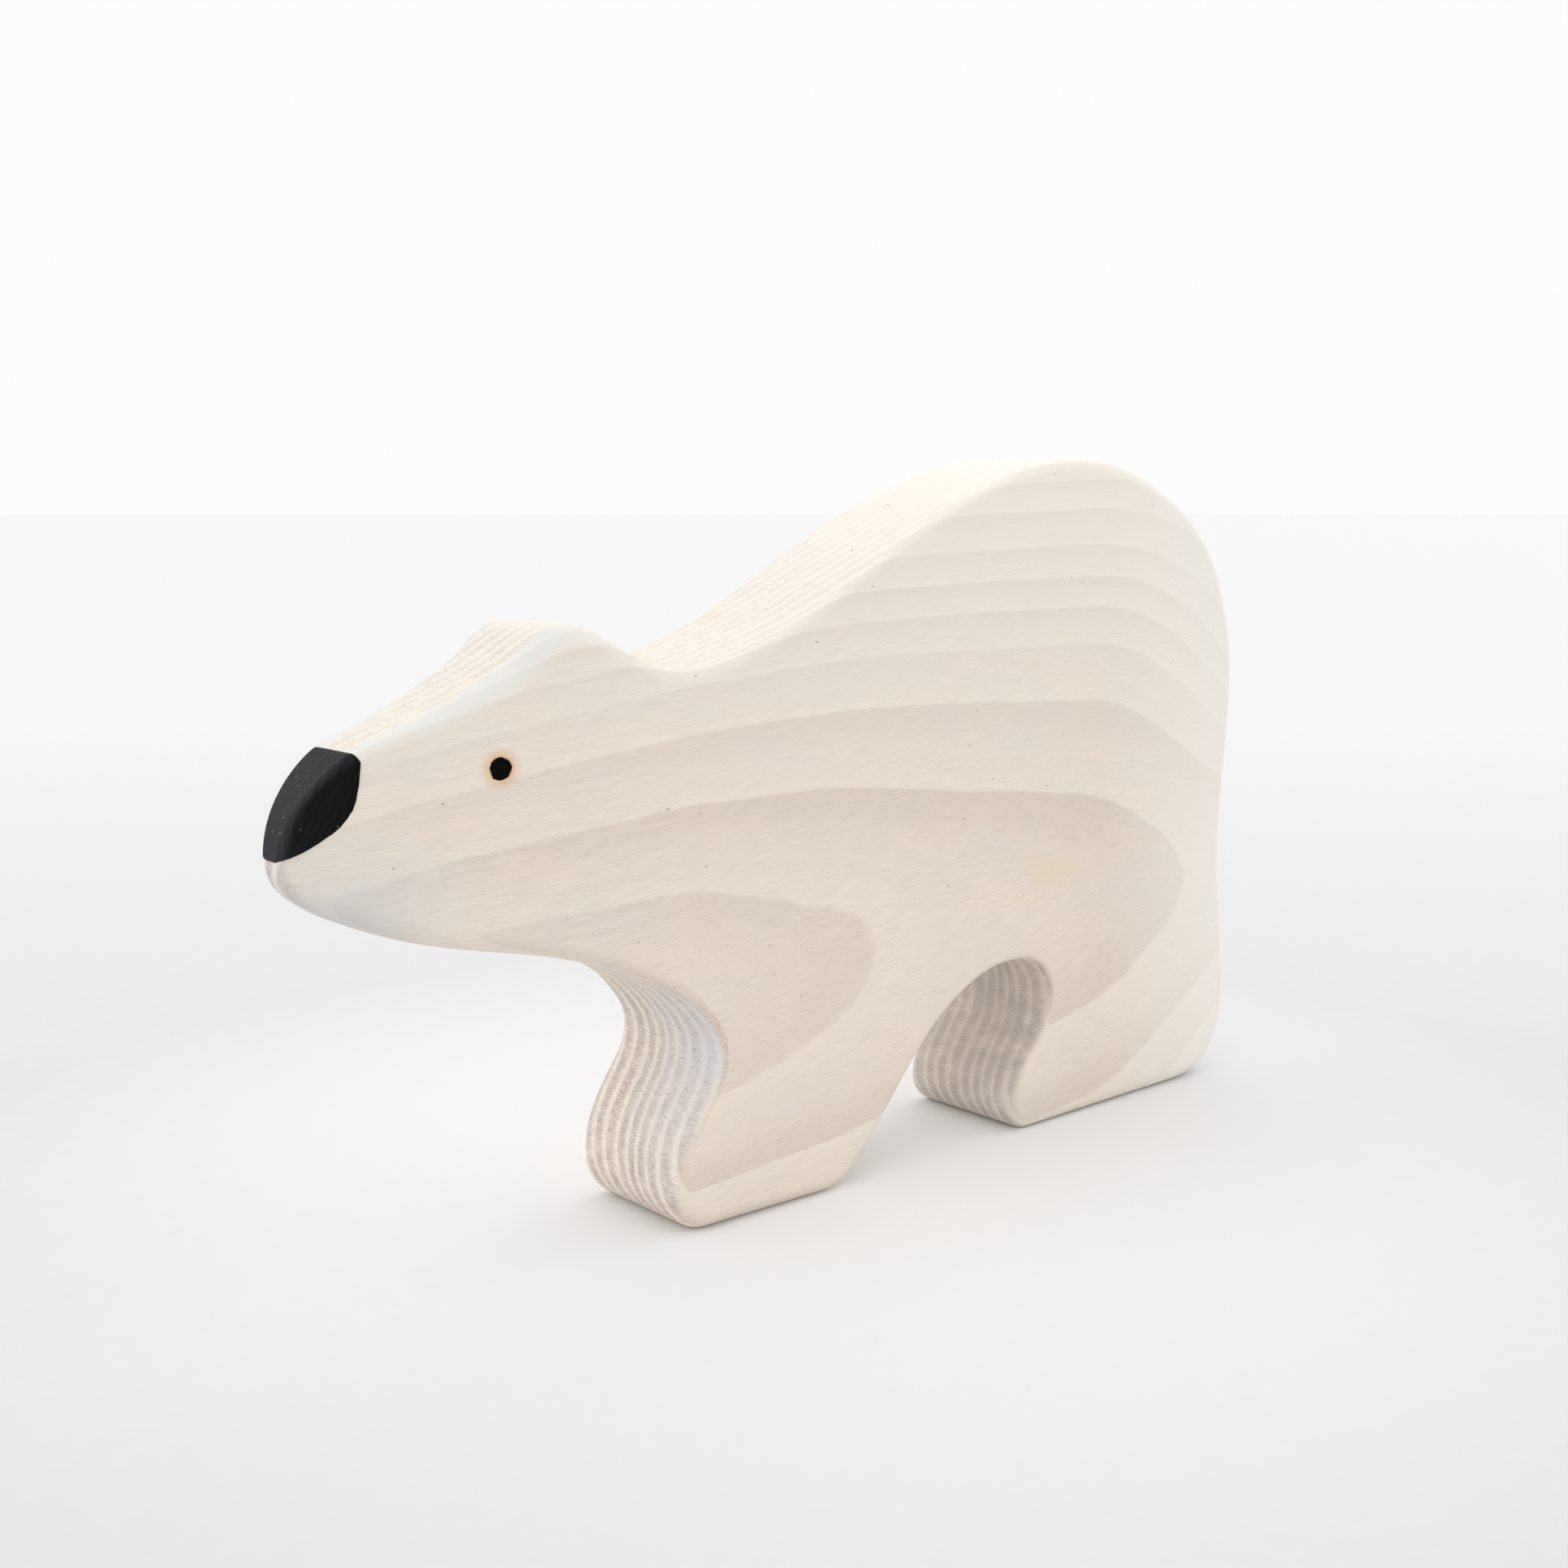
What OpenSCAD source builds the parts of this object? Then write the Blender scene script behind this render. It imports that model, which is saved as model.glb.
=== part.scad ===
// A standing polar bear sawn from one flat board, with every edge eased over.
// +X runs from the snout to the rump, +Y through the board, +Z up.
// The origin is on the ground, under the middle of the bear. Sizes in mm.

/* [Board] */
// length over snout and rump
body_length = 148; // [100:1:260]
// height over the hump
body_height = 90; // [60:1:160]
// thickness of the planed board
board_thickness = 20; // [14:0.5:34]
// radius the long edges are eased to
edge_round = 2.6; // [0.8:0.1:3.6]
// height of the belly opening above the ground
arch_height = 24; // [16:0.5:30]

/* [Snout] */
// how far back the snout starts to narrow
taper_length = 48; // [30:1:60]
// thickness left at the tip of the snout
tip_thickness = 4; // [3:0.2:12]

/* [Nose paint] */
// thickness of the painted film
paint_thickness = 0.2; // [0.1:0.05:0.5]
// how far the paint reaches onto each flat side
paint_reach = 1.8; // [1:0.1:4]

/* [Eyes] */
// diameter of each burnt eye
eye_diameter = 2.6; // [1.6:0.1:4]
// depth the burnt eye reaches into the wood
eye_depth = 1.4; // [0.8:0.1:2.5]
// how far the charred face lies below the wood
eye_sink = 0.2; // [0.1:0.05:0.5]

/* [Hidden] */
sx = body_length / 148;
sz = body_height / 90;
sa = arch_height / 24;
half = board_thickness / 2;
tip_half = tip_thickness / 2;
seg = 4;
arc = 4;
eye_x = -51.4 * sx;
eye_z = 56.5 * sz;
paint_first = 36 * seg;
paint_count = 3 * seg + 1;
eye_y = half_at(eye_x);

// outline of the board, seen from its flat side:
// x, z, heading of the cut in degrees, hub the flat side is fanned from
knots = [
  [-73.9 * sx, 47.8 * sz, -90, 0],
  [-72.1 * sx, 44.3 * sz, -38, 0],
  [-62.7 * sx, 39.4 * sz, -20, 0],
  [-43.7 * sx, 34.8 * sz, -16, 1],
  [-32.2 * sx, 30.4 * sz, -30, 2],
  [-26.2 * sx, 25.9 * sz, -50, 3],
  [-23.7 * sx, 20.8 * sz, -90, 3],
  [-26.2 * sx, 15.2 * sz, -128, 3],
  [-30.6 * sx, 5.5 * sz, -90, 3],
  [-25.7 * sx, 0, 0, 3],
  [-7.1 * sx, 0, 0, 3],
  [-1.1 * sx, 3.4 * sa, 46, 3],
  [7.1 * sx, 13 * sa, 50, 2],
  [14.9 * sx, 20.2 * sa, 33, 4],
  [26 * sx, 24 * sa, 0, 5],
  [32.2 * sx, 22 * sa, -50, 6],
  [33.7 * sx, 18.5 * sa, -92, 6],
  [31.3 * sx, 12.2 * sa, -131, 6],
  [26.2 * sx, 4 * sa, -90, 6],
  [30 * sx, 0, 0, 6],
  [62.1 * sx, 0, 0, 6],
  [71.3 * sx, 3.2 * sz, 52, 6],
  [74.1 * sx, 11 * sz, 90, 5],
  [71.9 * sx, 35 * sz, 90, 5],
  [73.7 * sx, 58 * sz, 90, 5],
  [69.9 * sx, 74.2 * sz, 117, 5],
  [59.1 * sx, 84.8 * sz, 152, 5],
  [39 * sx, 90 * sz, 180, 4],
  [20.6 * sx, 86.4 * sz, 200, 4],
  [-2.1 * sx, 75.4 * sz, 209, 2],
  [-17.4 * sx, 68 * sz, 199, 2],
  [-27.7 * sx, 65.6 * sz, 180, 1],
  [-35.7 * sx, 68.3 * sz, 149, 1],
  [-42.2 * sx, 71.2 * sz, 178, 0],
  [-47.6 * sx, 68.6 * sz, 221, 0],
  [-54.2 * sx, 64.5 * sz, 208, 0],
  [-66.1 * sx, 59.2 * sz, 206, 0],
  [-70.3 * sx, 56 * sz, 226, 0],
  [-73.2 * sx, 51.6 * sz, 249, 0]
];

// points inside the flat side, from snout to rump and down each leg
hubs = [
  [eye_x, eye_z],
  [-35 * sx, 52 * sz],
  [-8 * sx, 45 * sz],
  [-13 * sx, 18 * sz],
  [20 * sx, 50 * sz],
  [50 * sx, 45 * sz],
  [50 * sx, 14 * sz]
];

// half thickness of the board at x, narrowing gently over the head and faster at the snout
function half_at(x) =
  let (u = max(0, 1 - (x + 74 * sx) / (taper_length * sx)))
  half - (half - tip_half) * (0.7 * pow(u, 1.3) + 0.3 * pow(u, 5));

// cubic between two knots: place and outward direction at t
function curve(a, b, t) =
  let (h = 0.36 * norm([b[0] - a[0], b[1] - a[1]]))
  let (p = [a[0], a[1]])
  let (q = p + h * [cos(a[2]), sin(a[2])])
  let (s = [b[0], b[1]])
  let (r = s - h * [cos(b[2]), sin(b[2])])
  let (u = 1 - t)
  let (c = u * u * u * p + 3 * u * u * t * q + 3 * u * t * t * r + t * t * t * s)
  let (d = u * u * (q - p) + 2 * u * t * (r - q) + t * t * (s - r))
  [c[0], c[1], d[1] / norm(d), -d[0] / norm(d)];

outline = [
  for (i = [0:len(knots) - 1])
    for (j = [0:seg - 1])
      curve(knots[i], knots[(i + 1) % len(knots)], j / seg)
];
owner = [
  for (i = [0:len(knots) - 1])
    for (j = [0:seg - 1])
      knots[i][3]
];
count = len(outline);

// radius of the eased edge at x, smaller where the snout is thin
function round_at(x) = min(edge_round, 0.7 * half_at(x));

// one point of the eased edge: side is -1 or 1, a runs from 0 to 90
function rim(o, side, a, grow) =
  let (r = round_at(o[0]) + grow)
  let (w = grow - r * (1 - cos(a)))
  let (x = o[0] + w * o[2])
  let (h = half_at(x) + grow)
  [x, side * (h - r + r * sin(a)), o[1] + w * o[3]];

// rings of points from the near flat side round the cut edge to the far one
rings = [
  for (j = [0:arc])
    [-1, 90 - 90 * j / arc],
  for (j = [0:arc])
    [1, 90 * j / arc]
];
last = len(rings) - 1;

// points of the paint, in rows from the near flat side to the far one;
// on a flat side each row point lies on the line to the first hub
function paint_sheet(grow) = [
  for (j = [-1:last + 1])
    for (i = [0:paint_count - 1])
      let (g = rings[min(max(j, 0), last)])
      let (o = outline[(paint_first + i) % count])
      let (p = rim(o, g[0], g[1], grow))
      let (h = [hubs[0][0], g[0] * (half_at(hubs[0][0]) + grow), hubs[0][1]])
      let (w = paint_reach * sin(180 * (i + 0.5) / paint_count) / norm(h - p))
      j < 0 || j > last ? p + w * (h - p) : p
];

module bear(grow) {
  skin = [
    for (g = rings)
      for (o = outline)
        rim(o, g[0], g[1], grow)
  ];
  near_hub = [for (h = hubs) [h[0], -half_at(h[0]) - grow, h[1]]];
  far_hub = [for (h = hubs) [h[0], half_at(h[0]) + grow, h[1]]];
  near_base = len(skin);
  far_base = near_base + len(hubs);
  top = last * count;
  walls = [
    for (j = [0:last - 1])
      for (i = [0:count - 1])
        let (k = (i + 1) % count)
        [j * count + i, (j + 1) * count + i, (j + 1) * count + k, j * count + k]
  ];
  near_fan = [
    for (i = [0:count - 1])
      [near_base + owner[i], i, (i + 1) % count]
  ];
  near_step = [
    for (i = [0:count - 1])
      let (b = owner[(i + count - 1) % count])
      if (b != owner[i]) [i, near_base + owner[i], near_base + b]
  ];
  far_fan = [
    for (i = [0:count - 1])
      [far_base + owner[i], top + (i + 1) % count, top + i]
  ];
  far_step = [
    for (i = [0:count - 1])
      let (b = owner[(i + count - 1) % count])
      if (b != owner[i]) [top + i, far_base + b, far_base + owner[i]]
  ];
  polyhedron(
    points = concat(skin, near_hub, far_hub),
    faces = concat(walls, near_fan, near_step, far_fan, far_step)
  );
}

// the sawn, eased board with a shallow burnt pit for each eye
module body() {
  color("burlywood")
  difference() {
    bear(0);
    translate([eye_x, -eye_y, eye_z])
    rotate([90, 0, 0])
    cylinder(h = 2 * eye_depth, d = eye_diameter, center = true, $fn = 48);
    translate([eye_x, eye_y, eye_z])
    rotate([90, 0, 0])
    cylinder(h = 2 * eye_depth, d = eye_diameter, center = true, $fn = 48);
  }
}

// the film of black paint over the end of the snout: a sheet of points laid
// on the wood, the same sheet lifted by the film, and a strip along its edges
module nose_paint() {
  row = paint_count;
  rows = last + 3;
  under = paint_sheet(0);
  over = paint_sheet(paint_thickness);
  n = row * rows;
  cells = [
    for (j = [0:rows - 2])
      for (i = [0:row - 2])
        [j * row + i, (j + 1) * row + i, (j + 1) * row + i + 1, j * row + i + 1]
  ];
  outside = [for (c = cells) [n + c[0], n + c[1], n + c[2], n + c[3]]];
  inside = [for (c = cells) [c[3], c[2], c[1], c[0]]];
  near_edge = [
    for (i = [0:row - 2])
      [i, n + i, n + i + 1, i + 1]
  ];
  far_edge = [
    for (i = [n - row:n - 2])
      [i + 1, n + i + 1, n + i, i]
  ];
  top_edge = [
    for (j = [0:rows - 2])
      [(j + 1) * row, n + (j + 1) * row, n + j * row, j * row]
  ];
  tip_edge = [
    for (j = [1:rows - 1])
      [j * row - 1, n + j * row - 1, n + (j + 1) * row - 1, (j + 1) * row - 1]
  ];
  color("black")
  polyhedron(
    points = concat(under, over),
    faces = concat(outside, inside, near_edge, far_edge, top_edge, tip_edge)
  );
}

// a charred plug filling one eye pit, side is -1 or 1
module burnt_eye(side) {
  color("saddlebrown")
  translate([eye_x, side * (eye_y - (eye_depth + eye_sink) / 2), eye_z])
  rotate([90, 0, 0])
  cylinder(h = eye_depth - eye_sink, d = eye_diameter, center = true, $fn = 48);
}

module eye_left() {
  burnt_eye(-1);
}

module eye_right() {
  burnt_eye(1);
}

body();
nose_paint();
eye_left();
eye_right();
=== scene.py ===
# %% [markdown]
# A small standing polar bear, sawn from one flat board of softwood and rubbed with a thin white
# stain. Its long edges are eased over, its snout is thinned and painted matt black at the end,
# and an eye is burnt into each side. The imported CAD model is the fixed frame: it gives the size
# and the places, and each of its plain solids is replaced here by a finely made surface.

# %% The frame
import math

import bpy
import numpy as np
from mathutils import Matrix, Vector
from mathutils.geometry import delaunay_2d_cdt


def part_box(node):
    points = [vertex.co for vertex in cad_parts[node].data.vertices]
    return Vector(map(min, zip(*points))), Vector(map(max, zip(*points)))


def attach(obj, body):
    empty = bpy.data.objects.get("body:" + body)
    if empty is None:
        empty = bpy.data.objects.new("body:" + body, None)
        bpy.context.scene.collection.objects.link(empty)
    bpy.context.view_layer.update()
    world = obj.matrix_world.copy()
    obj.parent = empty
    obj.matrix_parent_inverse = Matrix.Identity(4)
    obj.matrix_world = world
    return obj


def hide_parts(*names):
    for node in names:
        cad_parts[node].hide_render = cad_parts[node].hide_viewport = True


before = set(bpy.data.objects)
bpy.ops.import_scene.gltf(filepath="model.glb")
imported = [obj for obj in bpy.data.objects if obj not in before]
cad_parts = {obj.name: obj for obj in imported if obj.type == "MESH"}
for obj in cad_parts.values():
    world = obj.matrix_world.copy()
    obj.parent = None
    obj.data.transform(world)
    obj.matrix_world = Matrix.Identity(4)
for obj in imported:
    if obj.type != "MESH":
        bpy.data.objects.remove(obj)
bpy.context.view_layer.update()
board_low, board_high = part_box("body")
size = np.array(board_high) - np.array(board_low)
print("sawn board", [round(1000 * s, 1) for s in size], "mm")

# %% [markdown]
# Every length below is written in millimetres, as a maker would, and turned to metres at the
# end by MM. The outline was drawn for a bear 148 mm long and 90 mm high, so two factors stretch
# it to whatever size the CAD body has.

# %% Units and sizes
MM = 0.001
DRAWN_LENGTH = 148.0
DRAWN_HEIGHT = 90.0
STRETCH = np.array([size[0] / MM / DRAWN_LENGTH, size[2] / MM / DRAWN_HEIGHT])
HALF = size[1] / MM / 2
TAPER_LENGTH = 48.0
TAPER_START = DRAWN_LENGTH / 2 - TAPER_LENGTH
TIP_HALF = 2.0
EYE = np.array([-51.4, 56.5]) * STRETCH
EYE_RADIUS = 1.15
PIT_DEPTH = 1.2
print("half the board's thickness", round(HALF, 2), "mm")


def linear(hex_colour):
    """sRGB hex colour to linear RGBA: below 0.04045 a straight line, above it a power of 2.4."""
    s = np.array([int(hex_colour[i:i + 2], 16) / 255 for i in (1, 3, 5)])
    rgb = np.where(s <= 0.04045, s / 12.92, ((s + 0.055) / 1.055) ** 2.4)
    return (*rgb.tolist(), 1.0)


# %% [markdown]
# The cut. A band saw follows a drawn line, so the outline is a loop of knots, each with the
# direction in which the blade passes it. Between two knots runs one cubic curve. Each knot also
# says how far the edge is eased there: the back between nape and hump was hardly touched, while
# the head, the rump and the feet were sanded round.

# %% Knots of the outline
# x, z, heading in degrees, radius of the eased edge
KNOTS = np.array([
    (-73.9, 47.8, -90, 0.9),  # tip of the snout
    (-72.1, 44.3, -38, 2.0),
    (-62.7, 39.4, -20, 2.6),  # chin
    (-43.7, 34.8, -16, 2.0),
    (-32.2, 30.4, -30, 1.5),
    (-26.2, 25.9, -50, 1.0),
    (-23.7, 20.8, -90, 0.9),
    (-26.2, 15.2, -128, 1.0),
    (-30.6, 5.5, -90, 2.2),  # toes of the front foot
    (-25.7, 0, 0, 2.6),
    (-7.1, 0, 0, 2.0),
    (-1.1, 3.4, 46, 1.8),
    (7.1, 13, 50, 1.4),
    (14.9, 20.2, 33, 1.2),
    (26, 24, 0, 0.9),  # top of the belly opening
    (32.2, 22, -50, 0.9),
    (33.7, 18.5, -92, 1.0),
    (31.3, 12.2, -131, 1.2),
    (26.2, 4, -90, 2.0),
    (30, 0, 0, 1.8),
    (62.1, 0, 0, 2.2),
    (71.3, 3.2, 52, 2.6),
    (74.1, 11, 90, 2.6),
    (71.9, 35, 90, 2.6),
    (73.7, 58, 90, 2.8),
    (69.9, 74.2, 117, 2.8),
    (59.1, 84.8, 152, 2.6),
    (39, 90, 180, 2.0),  # hump
    (20.6, 86.4, 200, 1.2),
    (-2.1, 75.4, 209, 1.0),
    (-17.4, 68, 199, 1.2),
    (-27.7, 65.6, 180, 1.6),  # nape
    (-35.7, 68.3, 149, 2.2),
    (-42.2, 71.2, 178, 2.8),  # crown of the head
    (-47.6, 68.6, 221, 3.0),
    (-54.2, 64.5, 208, 2.8),
    (-66.1, 59.2, 206, 1.0),
    (-70.3, 56, 226, 0.5),
    (-73.2, 51.6, 249, 0.6),
])
HANDLE = 0.36
CUT_STEP = 0.6


def half_thickness(x):
    """Half the board's thickness at x: full behind the head, then narrowing as a power of the
    way to the tip of the snout, gently over the head and faster at the end."""
    way = np.clip((-TAPER_START - x / STRETCH[0]) / TAPER_LENGTH, 0, None)
    return HALF - (HALF - TIP_HALF) * (0.7 * way**1.3 + 0.3 * way**5)


def outline(spacing):
    """The closed cut line, resampled at equal steps: points, outward normals and edge radii.
    Each cubic leaves a knot along its heading with a handle 0.36 times the chord."""
    a, b = KNOTS, np.roll(KNOTS, -1, axis=0)
    chord = np.linalg.norm(b[:, :2] - a[:, :2], axis=1)[:, None]
    turn_a, turn_b = np.radians(a[:, 2]), np.radians(b[:, 2])
    p0, p3 = a[:, :2], b[:, :2]
    p1 = p0 + HANDLE * chord * np.stack([np.cos(turn_a), np.sin(turn_a)], 1)
    p2 = p3 - HANDLE * chord * np.stack([np.cos(turn_b), np.sin(turn_b)], 1)
    t = np.linspace(0, 1, 64, endpoint=False)[None, :, None]
    line = ((1 - t)**3 * p0[:, None] + 3 * (1 - t)**2 * t * p1[:, None]
            + 3 * (1 - t) * t**2 * p2[:, None] + t**3 * p3[:, None])
    radius = (1 - t) * a[:, None, 3:] + t * b[:, None, 3:]
    dense = np.concatenate([line.reshape(-1, 2) * STRETCH, radius.reshape(-1, 1)], 1)
    closed = np.concatenate([dense, dense[:1]])
    steps = np.linalg.norm(np.diff(closed[:, :2], axis=0), axis=1)
    run = np.concatenate([[0], np.cumsum(steps)])
    count = int(run[-1] / spacing)
    at = np.linspace(0, run[-1], count, endpoint=False)
    out = np.stack([np.interp(at, run, closed[:, k]) for k in range(3)], 1)
    ahead = np.roll(out[:, :2], -1, axis=0) - np.roll(out[:, :2], 1, axis=0)
    normal = np.stack([ahead[:, 1], -ahead[:, 0]], 1)
    normal /= np.linalg.norm(normal, axis=1)[:, None]
    return out[:, :2], normal, out[:, 2]


cut, cut_normal, cut_radius = outline(CUT_STEP)
print("cut line:", len(cut), "points")

# %% [markdown]
# The body is one surface in three patches. The rim is a profile, quarter round, straight, quarter
# round, carried along the cut line. The two flat sides are height fields over x and z, filled
# with an even field of points that Delaunay triangulation joins to the rim's inner edge. Their
# height is half the board's thickness, less a dish for the burnt eye.


# %% Surfaces of the board
STRAIGHT_SHARE = 0.4  # share of the way across that runs straight, before the eased quarter round
MOST_EASED = 0.7  # an edge is eased by at most this share of half the thickness


def eased(points, normals, radius, across):
    """Point of the eased edge. across runs from -1, the near side's inner edge, over 0, the
    middle of the cut edge, to 1: an angle a past the straight part, where the point lies
    r (1 - cos a) inside the cut line and r (1 - sin a) below the flat side."""
    bend = np.clip((np.abs(across) - STRAIGHT_SHARE) / (1 - STRAIGHT_SHARE), 0, 1) * math.pi / 2
    straight = np.clip(np.abs(across) / STRAIGHT_SHARE, 0, 1)
    r = np.minimum(radius, MOST_EASED * half_thickness(points[..., 0]))
    inset = r * (1 - np.cos(bend))
    xz = points - inset[..., None] * normals
    reach = straight * (half_thickness(xz[..., 0]) - r) + r * np.sin(bend)
    return np.stack([xz[..., 0], np.sign(across) * reach, xz[..., 1]], -1)


def inside(points, loop):
    """True where a point lies inside the loop: the even-odd count of edges to its right."""
    x, z = points[:, :1], points[:, 1:]
    ax, az = loop[:, 0], loop[:, 1]
    bx, bz = np.roll(ax, -1), np.roll(az, -1)
    crosses = (az > z) != (bz > z)
    meet = ax + (z - az) * (bx - ax) / np.where(bz == az, 1.0, bz - az)
    return (crosses & (x < meet)).sum(1) % 2 == 1


def away(points, others):
    """Distance from each point to the nearest of the others."""
    return np.sqrt(((points[:, None] - others[None])**2).sum(-1).min(1))


def side_points(loop, step):
    """An even triangular field of points inside the loop, with rings of points about the eye."""
    low, high = loop.min(0), loop.max(0)
    rows = np.arange(low[1], high[1], step * math.sqrt(0.75))
    columns = np.arange(low[0], high[0], step)
    x = columns[None, :] + step / 2 * (np.arange(len(rows))[:, None] % 2)
    z = np.broadcast_to(rows[:, None], x.shape)
    field = np.stack([x.ravel(), z.ravel()], 1)
    ring = EYE_RADIUS * np.array([0.3, 0.55, 0.72, 0.82, 0.91, 1, 1.09, 1.2, 1.5, 2, 2.6])[:, None]
    angle = np.linspace(0, 2 * math.pi, 40, endpoint=False)[None]
    rings = np.stack([(ring * np.cos(angle)).ravel(), (ring * np.sin(angle)).ravel()], 1) + EYE
    field = field[inside(field, loop)]
    field = field[(away(field, loop) > 0.6 * step) & (np.hypot(*(field - EYE).T) > 3.6)]
    return np.concatenate([field, rings, EYE[None]])


PIT_LIP = 0.1  # how far past the eye's radius the pit starts
PIT_WALL = 0.3  # how far across its wall goes


def ragged(angle):
    """How far the burnt rim strays from its circle: four sines with fixed phases."""
    return (0.05 * np.sin(3 * angle + 1) + 0.04 * np.sin(5 * angle) + 0.03 * np.sin(8 * angle + 2)
            + 0.02 * np.sin(13 * angle))


def pit(points):
    """Depth of the burnt eye: a dish with a steep wall, level outside its ragged rim."""
    x, z = points[:, 0] - EYE[0], points[:, 1] - EYE[1]
    wall = EYE_RADIUS + PIT_LIP + ragged(np.arctan2(z, x)) - np.hypot(x, z)
    s = np.clip(wall / PIT_WALL, 0, 1)
    return PIT_DEPTH * s * s * (3 - 2 * s)


def new_piece(name, points, faces, body="root"):
    """A smooth-shaded mesh object in metres, its doubles merged, riding on a body."""
    mesh = bpy.data.meshes.new(name)
    mesh.from_pydata((points * MM).tolist(), [], faces)
    piece = bpy.data.objects.new(name, mesh)
    bpy.context.scene.collection.objects.link(piece)
    weld = piece.modifiers.new("weld", "WELD")
    weld.merge_threshold = 0.002 * MM
    piece.data = bpy.data.meshes.new_from_object(
        piece.evaluated_get(bpy.context.evaluated_depsgraph_get()))
    piece.modifiers.clear()
    piece.data.name = name
    piece.data.polygons.foreach_set("use_smooth", np.ones(len(piece.data.polygons), bool))
    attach(piece, body)
    print(name, len(piece.data.vertices), "vertices,", len(piece.data.polygons), "faces")
    return piece


def grid_faces(rows, columns, first=0, loop=False):
    """Quads of a grid of points in row-major order, its columns closed into a loop or not."""
    i, j = np.meshgrid(np.arange(rows - 1), np.arange(columns if loop else columns - 1),
                       indexing="ij")
    k = (j + 1) % columns
    quads = np.stack([i * columns + j, (i + 1) * columns + j, (i + 1) * columns + k,
                      i * columns + k], -1)
    return (quads.reshape(-1, 4) + first).tolist()


# %% [markdown]
# The rim needs ten rows of points over each quarter round, so that no facet shows in the
# highlight, and a few over the straight. The far side is the near side's mirror, its faces turned
# round so that they still point outward, and Weld joins the three patches into one closed skin.

# %% The body's mesh
FIELD_STEP = 1.3
near_round = -np.linspace(1, STRAIGHT_SHARE, 10)
level = np.linspace(-STRAIGHT_SHARE, STRAIGHT_SHARE, 11)[1:-1]
far_round = np.linspace(STRAIGHT_SHARE, 1, 10)
ACROSS = np.concatenate([near_round, level, far_round])
columns = len(cut)
rim = eased(np.broadcast_to(cut, (len(ACROSS), columns, 2)), cut_normal[None],
            cut_radius[None], np.broadcast_to(ACROSS[:, None], (len(ACROSS), columns)))
inner = rim[-1][:, [0, 2]]
side = np.concatenate([inner, side_points(inner, FIELD_STEP)])
flat = delaunay_2d_cdt([Vector(p) for p in side], [], [list(range(columns))], 1, 1e-7)
side = np.array([tuple(p) for p in flat[0]])
height = half_thickness(side[:, 0]) - pit(side)
near = np.stack([side[:, 0], -height, side[:, 1]], 1)
far = np.stack([side[:, 0], height, side[:, 1]], 1)
base = rim.shape[0] * columns
triangles = np.array(flat[2])
skin = np.concatenate([rim.reshape(-1, 3), near, far])
skin_faces = (grid_faces(len(ACROSS), columns, loop=True) + (triangles + base).tolist()
              + (triangles[:, ::-1] + base + len(near)).tolist())
bear = new_piece("bear", skin, skin_faces)
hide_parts("body")

# %% [markdown]
# The wood's growth is worked out once for every vertex and kept on the mesh, so that the rings run
# solid through the board: tall curves on the flat sides, upright stripes on the cut edges. The pith
# lay in front of the near side, so the rings there are met almost flat and open into long U shapes.

# %% Growth rings
RING_WIDTHS = np.array([2.4, 2.4, 2.6, 2.9, 2.4, 1.9, 1.8, 2.0, 2.6, 2.2, 2.0, 2.4, 1.9, 2.2, 2.1, 1.8,
                        2.3, 2.0, 2.2, 1.9, 2.1, 2.3, 2.0, 1.8, 2.2, 2.1, 2.0])
RINGS_BEFORE = 2
HEART_HEIGHT = 28.8
HEART_CLIMB = 0.03
HEART_EASE = 7.0  # millimetres over which the lean rounds off at the heart line
NECK_EASE = 9.0  # and over which it bends at the waist
CHEEK_FOLLOW = 0.6
RING_SPREAD = 176.0  # twice the radius of the rings, in millimetres
WAIST = -4.0  # x where the trunk's lean changes from headward to rumpward
FLARE_START = 40.0


def growth(p):
    """Millimetres of wood grown outward at a point: the depth behind the near side, plus the
    square of the height off the heart line over the ring spread, plus the lean of the trunk along
    the bear, which bends at the neck, plus a flare towards the rump that grows as the square of
    the way. Over the head it follows the cheek, where the board was thinned, so that few rings
    are cut through there."""
    x, depth, z = p[:, 0] / STRETCH[0], p[:, 1] + HALF, p[:, 2] / STRETCH[1]
    off = z - HEART_HEIGHT - HEART_CLIMB * x
    h = np.hypot(off, HEART_EASE) - HEART_EASE
    headward = (np.hypot(x - WAIST, NECK_EASE) - (x - WAIST)) / 2
    rumpward = np.clip(x - WAIST, 0, None)
    flare = np.clip(0.0012 + 0.00014 * h, 0, 0.0048) * np.clip(x - FLARE_START, 0, None)**2
    lean = (headward * (0.12 * h - 2.6) / 45 + rumpward * np.clip(0.046 - 0.00105 * h, -1, 0.03)
            + flare)
    cheek = CHEEK_FOLLOW * (HALF - half_thickness(p[:, 0]))
    return depth + off * off / RING_SPREAD + lean - cheek


def ring_number(grown):
    """Which year's ring that wood belongs to, with the share of the year already grown."""
    edges = np.concatenate([[0], np.cumsum(RING_WIDTHS)]) - RING_WIDTHS[:RINGS_BEFORE].sum()
    return np.interp(grown, edges, np.arange(len(edges)))


def keep(mesh, name, values):
    """Stores one number per vertex on the mesh, for a material to read."""
    mesh.attributes.new(name, "FLOAT", "POINT").data.foreach_set("value", values)


def vertices(mesh):
    """Vertex positions in millimetres, as one array."""
    flat_list = np.empty(3 * len(mesh.vertices), np.float32)
    mesh.vertices.foreach_get("co", flat_list)
    return flat_list.reshape(-1, 3).astype(float) / MM


def vertex_normals(mesh):
    """Unit normal of each vertex, as one array."""
    flat_list = np.empty(3 * len(mesh.vertices), np.float32)
    mesh.vertices.foreach_get("normal", flat_list)
    return flat_list.reshape(-1, 3).astype(float)


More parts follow.
